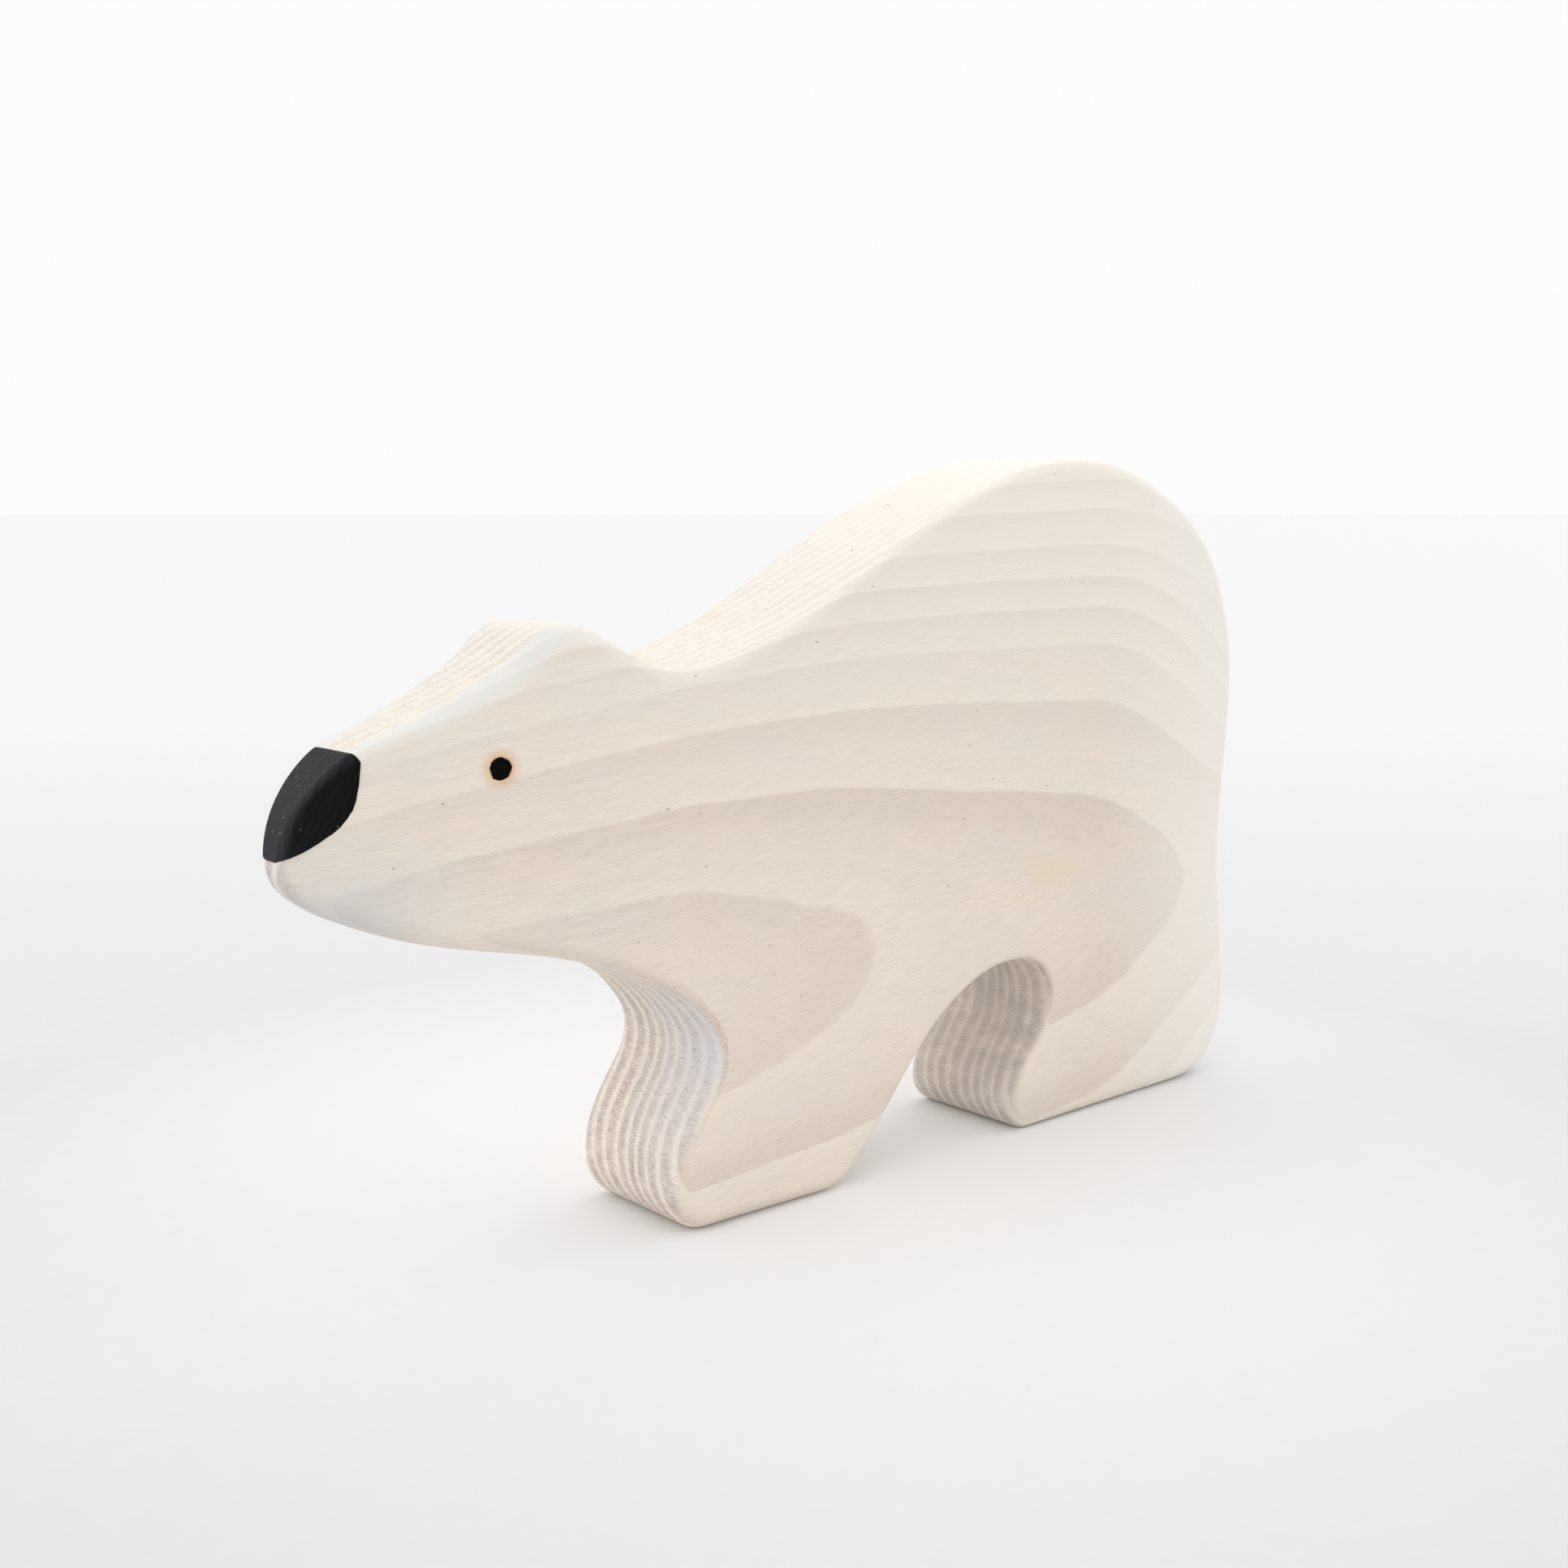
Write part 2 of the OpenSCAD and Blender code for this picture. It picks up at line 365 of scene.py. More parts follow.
wood_points = vertices(bear.data)
wood_normals = vertex_normals(bear.data)
rings = ring_number(growth(wood_points))
keep(bear.data, "ring", rings)
# a cut edge that faces along the bear shows end grain; the flat sides and eased arrises do not
cut_across = np.clip(2 * np.abs(wood_normals[:, 0]) - 0.55, 0, 1)
on_edge = np.clip(2 - 2 * np.abs(wood_normals[:, 1]), 0, 1)
keep(bear.data, "end_grain", cut_across * on_edge)
# how far a point lies below the flat side, which the stain and torn fibres at the arris follow
keep(bear.data, "below", half_thickness(wood_points[:, 0]) - np.abs(wood_points[:, 1]))
print("rings from", rings.min().round(1), "to", rings.max().round(1))

# %% [markdown]
# The nose is the end of the snout brushed with matt black paint. The film is a grid laid over the
# end of the board: one parameter follows the cut line, the other goes across the thickness and on
# over each flat side, out to the paint's edge. A copy of the grid just under the wood closes it.

# %% Nose paint
PAINT_TOP = np.array([-66.5, 59.0]) * STRETCH
PAINT_END = np.array([-73.9, 48.2]) * STRETCH
PAINT_REACH = 7.4
PAINT_FILM = 0.16
PAINT_KEY = 0.08
PAINT_STEP = 0.15
PAINT_ROWS = 121
PAINT_WIDEST = 0.33  # share of the way down where the paint reaches furthest
SIDE_BORDER = 0.05  # share of the reach over which the film thins out
END_BORDER = 0.025  # and the share of the length, at both ends
UNEVEN = 0.03


def board_skin(points, normals, aim, radius, run):
    """Point of the board a distance run from the middle of the cut edge, measured over the
    surface, and its normal: along the straight, round the quarter circle, then in over the side
    against the direction aim."""
    r = np.minimum(radius, MOST_EASED * half_thickness(points[..., 0]))
    straight = half_thickness(points[..., 0]) - r
    bend = np.clip((np.abs(run) - straight) / r, 0, math.pi / 2)
    past = np.clip(np.abs(run) - straight - r * math.pi / 2, 0, None)
    xz = points - (r * (1 - np.cos(bend)))[..., None] * normals - past[..., None] * aim
    share = np.clip(np.abs(run) / straight, 0, 1)
    reach = share * (half_thickness(xz[..., 0]) - r) + r * np.sin(bend)
    skin = np.stack([xz[..., 0], np.sign(run) * reach, xz[..., 1]], -1)
    up = np.stack([normals[..., 0] * np.cos(bend), np.sign(run) * np.sin(bend),
                   normals[..., 1] * np.cos(bend)], -1)
    return skin, up


def paint_border(u):
    """How far from the middle of the cut edge the paint reaches, at share u of its way down: a
    lopsided half ellipse, widest a third of the way down, with the brush's small waver."""
    squashed = (u - PAINT_WIDEST) / np.where(u < PAINT_WIDEST, 0.46, 0.675)
    waver = 0.02 * np.sin(23 * u) + 0.015 * np.sin(57 * u + 1)
    return np.maximum(PAINT_REACH * (1 - squashed**2)**0.55 + waver, 1.0)


def painted_end():
    """The film's outer grid and the grid under it, keyed a little into the wood. The film thins to
    nothing at its border and is a little uneven, as brushed paint is."""
    line, normal, radius = outline(PAINT_STEP)
    first = np.argmin(np.hypot(*(line - PAINT_TOP).T))
    last = np.argmin(np.hypot(*(line - PAINT_END).T))
    order = np.arange(first, last + (len(line) if last < first else 0)) % len(line)
    u = np.linspace(0, 1, len(order))[:, None]
    v = np.linspace(-1, 1, PAINT_ROWS)[None, :]
    run = v * paint_border(u)
    shape = run.shape
    aim = (1 - u) * normal[order[0]] + u * normal[order[-1]]
    aim = aim / np.linalg.norm(aim, axis=1)[:, None]
    skin, up = board_skin(np.broadcast_to(line[order][:, None], (*shape, 2)),
                          np.broadcast_to(normal[order][:, None], (*shape, 2)),
                          np.broadcast_to(aim[:, None], (*shape, 2)),
                          np.broadcast_to(radius[order][:, None], shape), run)
    border = np.minimum(np.clip((1 - np.abs(v)) / SIDE_BORDER, 0, 1),
                        np.clip(np.minimum(u, 1 - u) / END_BORDER, 0, 1))
    strokes = 1 + UNEVEN * np.sin(9 * run + 3 * np.sin(5 * u)) * np.sin(3 + 17 * u)
    film = PAINT_FILM * strokes * np.sqrt(border)
    return skin + film[..., None] * up, skin - PAINT_KEY * up


over, under = painted_end()
rows, across = over.shape[:2]
upper = np.array(grid_faces(rows, across))
border_loop = np.concatenate([np.arange(across), np.arange(2, rows + 1) * across - 1,
                              np.arange(rows * across - 2, (rows - 1) * across - 1, -1),
                              np.arange(rows - 2, 0, -1) * across])
next_loop = np.roll(border_loop, -1)
walls = np.stack([border_loop, border_loop + rows * across, next_loop + rows * across,
                  next_loop], 1)
nose = new_piece("nose_coat", np.concatenate([over.reshape(-1, 3), under.reshape(-1, 3)]),
                 upper[:, ::-1].tolist() + (upper + rows * across).tolist() + walls.tolist())
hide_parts("nose_paint")

# %% [markdown]
# Each eye is a hole burnt with a hot point. What is left in it is a crust of char, a little below
# the wood, ragged at the rim. It is a shallow bowl of points in polar rings.


# %% Burnt eyes
CHAR_SINK = 0.3  # how far the middle of the crust lies below the wood
CHAR_OVERLAP = 0.1  # how far the crust reaches into the wood under the pit


def char_plug(side, seed):
    """A closed lens of char: radius over rings and angle over spokes, its face sunk and crusted,
    its rim on the ragged rim of the pit."""
    phase = np.random.default_rng(seed).uniform(0, 2 * math.pi, 2)
    share = np.linspace(0, 1, 14)[:, None]
    angle = np.linspace(0, 2 * math.pi, 72, endpoint=False)[None]
    radius = share * (EYE_RADIUS + 0.06 + ragged(angle))
    crust = 0.05 * np.sin(9 * share + 3 * angle + phase[0]) * np.sin(5 * angle + phase[1])
    x, z = EYE[0] + radius * np.cos(angle), EYE[1] + radius * np.sin(angle)
    face = half_thickness(x) - CHAR_SINK + 0.2 * share**6 + crust * share * (1 - share) * 4
    back = half_thickness(x) - PIT_DEPTH - CHAR_OVERLAP + 0 * angle
    outer = np.stack([x, side * face, z], -1)
    inner_side = np.stack([x, side * back, z], -1)
    return outer, inner_side


for side_name, side_sign, seed in (("eye_char_left", -1, 3), ("eye_char_right", 1, 8)):
    face, back = char_plug(side_sign, seed)
    count, spokes = face.shape[:2]
    front = np.array(grid_faces(count, spokes, loop=True))
    rear = front[:, ::-1] + count * spokes
    last_ring = (count - 1) * spokes + np.arange(spokes)
    wall = np.stack([last_ring, np.roll(last_ring, -1), np.roll(last_ring, -1) + count * spokes,
                     last_ring + count * spokes], 1)
    all_faces = np.concatenate([front[:, ::-1], rear[:, ::-1], wall])
    all_faces = all_faces if side_sign > 0 else all_faces[:, ::-1]
    eye = new_piece(side_name, np.concatenate([face.reshape(-1, 3), back.reshape(-1, 3)]),
                    all_faces.tolist())
    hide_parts(side_name.replace("char_", ""))


# %% [markdown]
# Materials. One helper adds a node with its settings and links; everything else is laid out plainly.

# %% Material helper
def add(tree, kind, sockets=None, **settings):
    """A shader node: settings are its own options, and sockets maps each input's name or number
    to a value or to another node's output."""
    node = tree.nodes.new("ShaderNode" + kind)
    for name, value in settings.items():
        setattr(node, name, value)
    for key, value in (sockets or {}).items():
        if isinstance(value, bpy.types.NodeSocket):
            tree.links.new(value, node.inputs[key])
        else:
            node.inputs[key].default_value = value
    return node


def new_material(name):
    """An empty node material and its tree."""
    material = bpy.data.materials.new(name)
    material.use_nodes = True
    material.node_tree.nodes.clear()
    return material, material.node_tree


# %% [markdown]
# Wood. The board is a pale softwood, planed, sanded by hand and rubbed with a thin white stain.
# What that gives the eye: on the flat sides faint tall rings, each darkest just inside its line
# and yellowish just outside it, crossed by fine raised fibres that climb a few degrees towards
# the rump; on the cut edges the same rings as soft upright stripes, greyer because end grain
# drinks the stain; and along the brow a bluish white, partly thick stain and partly painted
# highlight, with a grey under the chin that is partly stain and partly painted shade.
# An image could hold all this, but nodes can follow the solid rings round every edge, so the
# colour is built up from the age of the wood, kept on the mesh, and a few stretched noises.

# %% Wood: rings and fibres
FIBRE_LENGTH = 4.5 * MM
FIBRE_WIDTH = 0.14 * MM  # real fibres are about 0.03 mm: drawn as bundles, so that they show
FIBRE_DEPTH = 2 * MM  # fibres lie in sheets, so a sloping cheek doesn't chop their streaks
FIBRE_CLIMB = math.radians(8)
RING_WAVER = 0.05

wood, tree = new_material("softwood_rubbed_white")
place = add(tree, "TexCoord").outputs["Object"]
year = add(tree, "Attribute", attribute_name="ring").outputs["Fac"]
end = add(tree, "Attribute", attribute_name="end_grain").outputs["Fac"]
below = add(tree, "Attribute", attribute_name="below").outputs["Fac"]

slow = add(tree, "Mapping", {"Vector": place, "Scale": (14 * MM, 6 * MM, 4 * MM)},
           vector_type="TEXTURE")
waver = add(tree, "TexNoise", {"Vector": slow.outputs[0], "Scale": 1.0, "Detail": 4.0})
shift = add(tree, "Math", {0: waver.outputs[0], 1: RING_WAVER * 2, 2: -RING_WAVER},
            operation="MULTIPLY_ADD")
age = add(tree, "Math", {0: year, 1: shift.outputs[0]}, operation="ADD")
season = add(tree, "Math", {0: age.outputs[0]}, operation="FRACT")
which = add(tree, "Math", {0: age.outputs[0]}, operation="FLOOR")
luck = add(tree, "TexWhiteNoise", {"W": which.outputs[0]}, noise_dimensions="1D")
vigour = add(tree, "MapRange", {"Value": luck.outputs[0], "To Min": 0.45, "To Max": 0.9})

grain = add(tree, "Mapping", {"Vector": place, "Rotation": (0, -FIBRE_CLIMB, 0),
                              "Scale": (FIBRE_LENGTH, FIBRE_DEPTH, FIBRE_WIDTH)},
            vector_type="TEXTURE")
fibre = add(tree, "TexNoise", {"Vector": grain.outputs[0], "Scale": 1.0, "Detail": 4.0,
                               "Roughness": 0.7})
fuzz = add(tree, "Mapping", {"Vector": place, "Scale": (0.35 * MM, 0.8 * MM, 0.2 * MM)},
           vector_type="TEXTURE")
saw = add(tree, "TexNoise", {"Vector": fuzz.outputs[0], "Scale": 1.0, "Detail": 3.0})
print("rings waver by", RING_WAVER, "of a year; fibres", round(FIBRE_LENGTH / MM, 1), "mm long")

# %% [markdown]
# On the flat sides a year starts pale and yellowish, turns pinkish brown as the late wood comes,
# and stops at a sharp line. Some years are stronger than others, so a white noise draws one
# vigour for each. Over the head the stain hides most of it.

# %% Wood: the flat sides
rise = add(tree, "MapRange", {"Value": season.outputs[0], "From Min": 0.3, "From Max": 0.97},
           interpolation_type="SMOOTHSTEP")
fall = add(tree, "MapRange", {"Value": season.outputs[0], "From Min": 0.975, "From Max": 1.0,
                              "To Min": 1.0, "To Max": 0.0})
late = add(tree, "Math", {0: rise.outputs[0], 1: fall.outputs[0]}, operation="MULTIPLY")
late = add(tree, "Math", {0: late.outputs[0], 1: vigour.outputs[0]}, operation="MULTIPLY")
early = add(tree, "MapRange", {"Value": season.outputs[0], "From Min": 0.02, "From Max": 0.3,
                               "To Min": 0.8, "To Max": 0.0}, interpolation_type="SMOOTHSTEP")
split = add(tree, "SeparateXYZ", {0: place})
clear = add(tree, "MapRange", {"Value": split.outputs["X"], "From Min": -66 * MM,
                               "From Max": -28 * MM, "To Min": 0.5, "To Max": 1.0})
late = add(tree, "Math", {0: late.outputs[0], 1: clear.outputs[0]}, operation="MULTIPLY")
early = add(tree, "Math", {0: early.outputs[0], 1: clear.outputs[0]}, operation="MULTIPLY")
side_wood = add(tree, "Mix", {0: late.outputs[0], 6: linear("#EDE4D9"), 7: linear("#E1D5CA")},
                data_type="RGBA")
side_wood = add(tree, "Mix", {0: early.outputs[0], 6: side_wood.outputs[2], 7: linear("#F1E9DD")},
                data_type="RGBA")
print("flat sides:", len(tree.nodes), "nodes so far")

# %% [markdown]
# A cut edge shows the same years end on, as soft grey stripes with a thin pale line between
# them, where the early wood took the white stain best. The saw leaves it finely hatched across
# the board, and the stripes are patchy where the rag passed twice.

# %% Wood: the cut edges
deep = add(tree, "MapRange", {"Value": season.outputs[0], "From Min": 0.12, "From Max": 0.5},
           interpolation_type="SMOOTHSTEP")
shallow = add(tree, "MapRange", {"Value": season.outputs[0], "From Min": 0.84, "From Max": 1.0,
                                 "To Min": 1.0, "To Max": 0.0}, interpolation_type="SMOOTHSTEP")
stripe = add(tree, "Math", {0: deep.outputs[0], 1: shallow.outputs[0]}, operation="MULTIPLY")
blotch = add(tree, "TexNoise", {"Vector": place, "Scale": 1 / (3 * MM), "Detail": 4.0})
patchy = add(tree, "MapRange", {"Value": blotch.outputs[0], "From Min": 0.3, "From Max": 0.7,
                                "To Min": 0.35, "To Max": 1.0})
stripe = add(tree, "Math", {0: stripe.outputs[0], 1: patchy.outputs[0]}, operation="MULTIPLY")
mottled = add(tree, "MapRange", {"Value": saw.outputs[0], "From Min": 0.35, "From Max": 0.65,
                                 "To Min": 1.1, "To Max": 0.8})
stripe = add(tree, "Math", {0: stripe.outputs[0], 1: mottled.outputs[0]}, operation="MULTIPLY",
             use_clamp=True)
end_wood = add(tree, "Mix", {0: stripe.outputs[0], 6: linear("#F0E7DF"), 7: linear("#C3B6AF")},
               data_type="RGBA")
hatch = add(tree, "MapRange", {"Value": saw.outputs[0], "From Min": 0.3, "From Max": 0.7,
                               "To Min": 0.86, "To Max": 1.08})
end_wood = add(tree, "Mix", {0: 1.0, 6: end_wood.outputs[2], 7: hatch.outputs[0]},
               data_type="RGBA", blend_type="MULTIPLY")
colour = add(tree, "Mix", {0: end, 6: side_wood.outputs[2], 7: end_wood.outputs[2]},
             data_type="RGBA")
print("cut edges:", len(tree.nodes), "nodes so far")

# %% [markdown]
# Over both lie fine streaks along the fibres, a slow drift between warm and cool, a paler tone
# painted towards the back and top, a painted highlight standing in for the light from above, a few
# dark pores, and one warm patch of resin.

# %% Wood: streaks, pores and a warm patch
streak = add(tree, "MapRange", {"Value": fibre.outputs[0], "From Min": 0.3, "From Max": 0.7,
                                "To Min": 0.9, "To Max": 1.1})
colour = add(tree, "Mix", {0: 1.0, 6: colour.outputs[2], 7: streak.outputs[0]},
             data_type="RGBA", blend_type="MULTIPLY")
cloud = add(tree, "Mapping", {"Vector": place, "Scale": (22 * MM, 10 * MM, 7 * MM)},
            vector_type="TEXTURE")
drift = add(tree, "TexNoise", {"Vector": cloud.outputs[0], "Scale": 1.0, "Detail": 3.0})
tint = add(tree, "Mix", {0: drift.outputs[0], 6: linear("#FFF6EC"), 7: linear("#F1F3F4")},
           data_type="RGBA")
colour = add(tree, "Mix", {0: 1.0, 6: colour.outputs[2], 7: tint.outputs[2]},
             data_type="RGBA", blend_type="MULTIPLY")

# painted highlight: the bear is painted paler towards the top, standing in for the light from above
painted_top_light = add(tree, "MapRange", {"Value": split.outputs["Z"], "From Min": 45 * MM,
                                "From Max": 85 * MM, "To Min": 0.0, "To Max": 0.55})
colour = add(tree, "Mix", {0: painted_top_light.outputs[0], 6: colour.outputs[2], 7: linear("#F6F2EA")},
             data_type="RGBA")

cells = add(tree, "Mapping", {"Vector": place, "Rotation": (0, -FIBRE_CLIMB, 0),
                              "Scale": (2.0 * MM, 2.0 * MM, 1.0 * MM)}, vector_type="TEXTURE")
pore = add(tree, "TexVoronoi", {"Vector": cells.outputs[0], "Scale": 1.0})
chosen = add(tree, "SeparateColor", {0: pore.outputs["Color"]})
few = add(tree, "Math", {0: chosen.outputs[0], 1: 0.09}, operation="LESS_THAN")
core = add(tree, "MapRange", {"Value": pore.outputs["Distance"], "From Min": 0.04,
                              "From Max": 0.11, "To Min": 0.9, "To Max": 0.0})
speck = add(tree, "Math", {0: few.outputs[0], 1: core.outputs[0]}, operation="MULTIPLY")
colour = add(tree, "Mix", {0: speck.outputs[0], 6: colour.outputs[2], 7: linear("#7E6E5E")},
             data_type="RGBA")

WARM_PATCH = (34 * MM, 0, 35.5 * MM)
warm = add(tree, "Mapping", {"Vector": place, "Location": WARM_PATCH,
                             "Scale": (13 * MM, 40 * MM, 6 * MM)}, vector_type="TEXTURE")
spot = add(tree, "TexGradient", {"Vector": warm.outputs[0]}, gradient_type="QUADRATIC_SPHERE")
spot = add(tree, "Math", {0: spot.outputs["Fac"], 1: 0.7}, operation="MULTIPLY")
colour = add(tree, "Mix", {0: spot.outputs[0], 6: colour.outputs[2], 7: linear("#EAD1AC")},
             data_type="RGBA")
print("streaks and pores:", len(tree.nodes), "nodes so far")

# %% [markdown]
# Real marks and painted light lie together here. Along the upward arris of the brow lies a bluish
# white, partly thick stain and partly painted highlight; under the chin a darker cool grey, partly
# thick stain and partly painted shade. The end grain in the throat's notch is painted a cool grey.
# The belly opening is painted a darker grey, a painted shade where the legs keep the light out, and
# the rump is painted whitest, a painted highlight standing in for the light from behind. At the
# throat the saw tore a few fibres, which stay brown.

# %% Wood: stain and painted light on the brow and chin, painted shade in the belly opening, painted highlight on the rump
# painted highlight, partly thick stain: a bluish white along the upward arris of the brow
headward = add(tree, "MapRange", {"Value": split.outputs["X"], "From Min": -34 * MM,
                                  "From Max": -44 * MM})
band_in = add(tree, "MapRange", {"Value": below, "From Min": 0.0, "From Max": 0.5})
band_out = add(tree, "MapRange", {"Value": below, "From Min": 2.3, "From Max": 2.9,
                                  "To Min": 1.0, "To Max": 0.0})
band = add(tree, "Math", {0: band_in.outputs[0], 1: band_out.outputs[0]}, operation="MULTIPLY")
band = add(tree, "Math", {0: band.outputs[0], 1: headward.outputs[0]}, operation="MULTIPLY")
upward = add(tree, "MapRange", {"Value": split.outputs["Z"], "From Min": 50 * MM,
                                "From Max": 58 * MM})
band = add(tree, "Math", {0: band.outputs[0], 1: upward.outputs[0]}, operation="MULTIPLY")
# painted shade, partly thick stain: a darker cool grey pooled under the chin
chin = add(tree, "Mapping", {"Vector": place, "Location": (-68 * MM, 0, 42 * MM),
                             "Scale": (15 * MM, 40 * MM, 10 * MM)}, vector_type="TEXTURE")
pool = add(tree, "TexGradient", {"Vector": chin.outputs[0]}, gradient_type="SPHERICAL")
stain_and_painted_light = add(tree, "Math", {0: band.outputs[0], 1: pool.outputs["Fac"]}, operation="MAXIMUM")
# a cool grey painted on the end grain of the throat's notch under the head, patchy like the saw's
# hatching
throat_side = add(tree, "Mapping", {"Vector": place, "Location": (-24 * MM, -7 * MM, 20 * MM),
                                    "Scale": (13 * MM, 13 * MM, 18 * MM)},
                  vector_type="TEXTURE")
throat_notch = add(tree, "TexGradient", {"Vector": throat_side.outputs[0]}, gradient_type="SPHERICAL")
patchy_grey = add(tree, "MapRange", {"Value": saw.outputs[0], "From Min": 0.35, "From Max": 0.6,
                                "To Min": 0.35, "To Max": 0.95})
cool = add(tree, "Math", {0: throat_notch.outputs["Fac"], 1: patchy_grey.outputs[0]}, operation="MULTIPLY")
cool = add(tree, "Math", {0: cool.outputs[0], 1: end}, operation="MULTIPLY")
colour = add(tree, "Mix", {0: cool.outputs[0], 6: colour.outputs[2], 7: linear("#D6D6DA")},
             data_type="RGBA")
# painted shade: the end grain in the belly opening is painted a darker grey, where the legs keep the
# light from it
arch_shade_region = add(tree, "Mapping", {"Vector": place, "Location": (31 * MM, 0, 13 * MM),
                             "Scale": (15 * MM, 40 * MM, 22 * MM)}, vector_type="TEXTURE")
arch_shade_region = add(tree, "TexGradient", {"Vector": arch_shade_region.outputs[0]}, gradient_type="SPHERICAL")
painted_arch_shade = add(tree, "Math", {0: arch_shade_region.outputs["Fac"], 1: patchy.outputs[0]}, operation="MULTIPLY")
painted_arch_shade = add(tree, "Math", {0: painted_arch_shade.outputs[0], 1: end}, operation="MULTIPLY")
colour = add(tree, "Mix", {0: painted_arch_shade.outputs[0], 6: colour.outputs[2], 7: linear("#B9B2AB")},
             data_type="RGBA")
fibre_uneven = add(tree, "MapRange", {"Value": fibre.outputs[0], "From Min": 0.3, "From Max": 0.6,
                               "To Min": 0.35, "To Max": 0.75})
stain_and_painted_light = add(tree, "Math", {0: stain_and_painted_light.outputs[0], 1: fibre_uneven.outputs[0]}, operation="MULTIPLY")
# the brow's bluish white and the chin's darker grey, each partly stain and partly painted light or
# shade
stain = add(tree, "Mix", {0: pool.outputs["Fac"], 6: linear("#E1E3E2"), 7: linear("#C3C6CA")},
            data_type="RGBA")
colour = add(tree, "Mix", {0: stain_and_painted_light.outputs[0], 6: colour.outputs[2], 7: stain.outputs[2]},
             data_type="RGBA")

# painted highlight: the rump is painted whiter towards its end, standing in for the light from behind
painted_rump_light = add(tree, "MapRange", {"Value": split.outputs["X"], "From Min": 44 * MM,
                                  "From Max": 76 * MM, "To Min": 0.0, "To Max": 0.85})
colour = add(tree, "Mix", {0: painted_rump_light.outputs[0], 6: colour.outputs[2], 7: linear("#F4F1EA")},
             data_type="RGBA")

# %% Wood: torn fibres at the throat
arris = add(tree, "MapRange", {"Value": below, "From Min": 0.05, "From Max": 0.4,
                               "To Min": 0.75, "To Max": 0.0}, interpolation_type="SMOOTHSTEP")
touched = add(tree, "MapRange", {"Value": below, "From Min": 0.0, "From Max": 0.03})
throat = add(tree, "Mapping", {"Vector": place, "Location": (-25 * MM, 0, 22 * MM),
                               "Scale": (9 * MM, 40 * MM, 14 * MM)}, vector_type="TEXTURE")
reach_of_tear = add(tree, "TexGradient", {"Vector": throat.outputs[0]}, gradient_type="SPHERICAL")
tear = add(tree, "Math", {0: arris.outputs[0], 1: touched.outputs[0]}, operation="MULTIPLY")
tear = add(tree, "Math", {0: tear.outputs[0], 1: reach_of_tear.outputs["Fac"]},
           operation="MULTIPLY")
frayed = add(tree, "MapRange", {"Value": saw.outputs[0], "From Min": 0.35, "From Max": 0.6})
tear = add(tree, "Math", {0: tear.outputs[0], 1: frayed.outputs[0]}, operation="MULTIPLY")
colour = add(tree, "Mix", {0: tear.outputs[0], 6: colour.outputs[2], 7: linear("#C79A6B")},
             data_type="RGBA")
print("stain and torn fibres:", len(tree.nodes), "nodes so far")

# %% [markdown]
# The hot point that burnt the eyes toasted the wood about a millimetre and a half round each, and
# blackened the rim itself. The distance from the eye's middle, made uneven by the blotches,
# gives both.

# %% Wood: scorched round the eyes
from_eye = add(tree, "VectorMath", {0: place, 1: (EYE[0] * MM, 0, EYE[1] * MM)},
               operation="SUBTRACT")
in_side = add(tree, "VectorMath", {0: from_eye.outputs[0], 1: (1 / MM, 0, 1 / MM)},
              operation="MULTIPLY")
distance = add(tree, "VectorMath", {0: in_side.outputs[0]}, operation="LENGTH")
uneven = add(tree, "Math", {0: blotch.outputs[0], 1: 0.5, 2: -0.25}, operation="MULTIPLY_ADD")
distance = add(tree, "Math", {0: distance.outputs["Value"], 1: uneven.outputs[0]},
               operation="ADD")
toast = add(tree, "MapRange", {"Value": distance.outputs[0], "From Min": 1.1, "From Max": 2.6,
                               "To Min": 0.85, "To Max": 0.0})
toast = add(tree, "Math", {0: toast.outputs[0], 1: 1.5}, operation="POWER")
colour = add(tree, "Mix", {0: toast.outputs[0], 6: colour.outputs[2], 7: linear("#E3A662")},
             data_type="RGBA")
burn = add(tree, "MapRange", {"Value": distance.outputs[0], "From Min": 1.14,
                              "From Max": 1.32, "To Min": 1.0, "To Max": 0.0})
colour = add(tree, "Mix", {0: burn.outputs[0], 6: colour.outputs[2], 7: linear("#120C08")},
             data_type="RGBA")

# %% [markdown]
# Sanded and stained softwood is matt, and its fibres stand up by a few hundredths of a
# millimetre, so the same fibre noise gives the bump that the light catches.

# %% Wood: its surface
FIBRE_RELIEF = 0.05 * MM
relief = add(tree, "Bump", {"Strength": 0.5, "Distance": FIBRE_RELIEF,
                            "Height": fibre.outputs[0]})
shader = add(tree, "BsdfPrincipled", {"Base Color": colour.outputs[2], "Roughness": 0.62,
                                      "IOR": 1.5, "Normal": relief.outputs[0]})
add(tree, "OutputMaterial", {"Surface": shader.outputs[0]})
bear.data.materials.append(wood)
print(wood.name, "has", len(tree.nodes), "nodes")

# %% [markdown]
# Paint. The nose is matt black acrylic, brushed on thickly: almost no gloss, a grain of fine
# pigment, and a few pale specks of dust caught in it. The end of the nose is painted a little
# grey along the strokes of the brush, a painted sheen standing in for the light it catches.
# Which way the surface faces on the bear itself tells the end from the sides.

# %% Matt black paint, brushed on
paint, tree = new_material("matt_black_paint_brushed")
place = add(tree, "TexCoord").outputs["Object"]
grit = add(tree, "TexNoise", {"Vector": place, "Scale": 1 / (0.5 * MM), "Detail": 4.0})
tone = add(tree, "Mix", {0: grit.outputs[0], 6: linear("#010101"), 7: linear("#050506")},
           data_type="RGBA")
facing = add(tree, "SeparateXYZ", {0: add(tree, "TexCoord").outputs["Normal"]})
